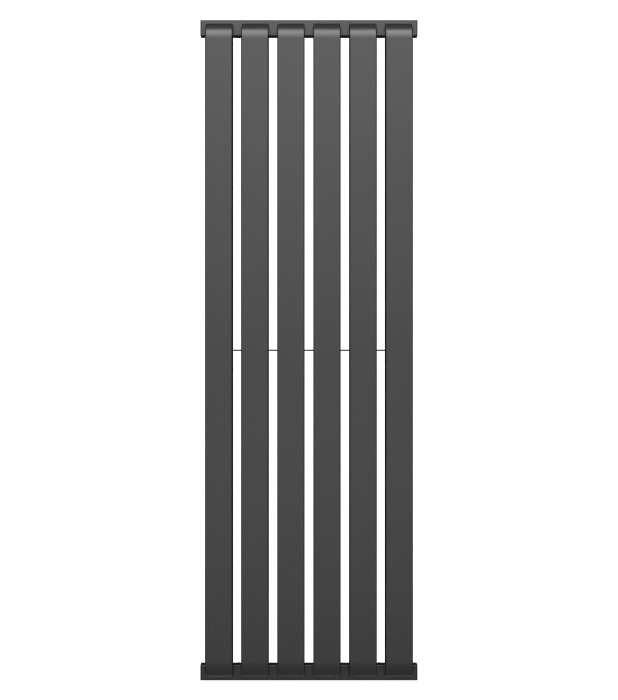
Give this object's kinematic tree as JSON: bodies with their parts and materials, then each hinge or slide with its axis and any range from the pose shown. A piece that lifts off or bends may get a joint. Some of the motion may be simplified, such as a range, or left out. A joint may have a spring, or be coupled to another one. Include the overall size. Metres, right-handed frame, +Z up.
{
  "type": "vertical panel radiator",
  "caption": "Tall wall-hung water radiator: flat vertical panels with rounded ends on rectangular headers, with bottom connections, air vent and wall spigots.",
  "frame": {"origin": "bottom centre of the whole part's box: middle of the width, middle of the depth from panel front to wall, at the underside of the bottom header", "axes": "+Z up, -Y out of the panel fronts into the room, +Y to the wall, +X to the right for someone facing the radiator"},
  "size_m": [0.526, 0.1, 1.6],
  "materials": {
    "painted_steel": "satin powder coat, dark grey, with a very fine texture",
    "nickel_brass": "nickel plated, machined",
    "bare_brass": "turned",
    "white_plastic": "moulded, fine matt",
    "seal_rubber": "matt",
    "black_steel": "blackened",
    "zinc_steel": "zinc plated, turned"
  },
  "bodies": {
    "wall_fixings": {"spigot_bottom_left": "zinc_steel", "spigot_bottom_right": "zinc_steel", "spigot_top_left": "zinc_steel", "spigot_top_right": "zinc_steel"},
    "radiator": {"panel_1": "painted_steel", "panel_2": "painted_steel", "panel_3": "painted_steel", "panel_4": "painted_steel", "panel_5": "painted_steel", "panel_6": "painted_steel", "header_bottom": "painted_steel", "header_top": "painted_steel", "cap_bottom_left": "painted_steel", "cap_bottom_right": "painted_steel", "cap_top_left": "painted_steel", "cap_top_right": "painted_steel", "flow_diverter": "painted_steel", "spacer_rod": "painted_steel", "sleeve_bottom_left": "painted_steel", "sleeve_bottom_right": "painted_steel", "sleeve_top_left": "painted_steel", "sleeve_top_right": "painted_steel", "port_bush_left": "nickel_brass", "port_bush_right": "nickel_brass", "plug_bush": "nickel_brass", "vent_bush": "nickel_brass", "blanking_plug": "nickel_brass", "vent_body": "nickel_brass", "plug_seal": "seal_rubber", "vent_seal": "seal_rubber", "grub_bottom_left": "black_steel", "grub_bottom_right": "black_steel", "grub_top_left": "black_steel", "grub_top_right": "black_steel"},
    "vent_outlet": {"vent_outlet": "white_plastic"},
    "bleed_spindle": {"bleed_spindle": "bare_brass"}
  },
  "joints": [
    {"name": "wall_distance", "type": "slide", "parent": "wall_fixings", "child": "radiator", "axis": [0, -1, 0], "range_m": [-0.004, 0.006]},
    {"name": "outlet_swivel", "type": "hinge", "parent": "radiator", "child": "vent_outlet", "pos_m": [0.236, 0.035, 1.581], "axis": [0, 1, 0], "continuous": true},
    {"name": "bleed_turn", "type": "hinge", "parent": "radiator", "child": "bleed_spindle", "pos_m": [0.236, 0.03, 1.581], "axis": [0, 1, 0], "range_deg": [0, 360]}
  ]
}
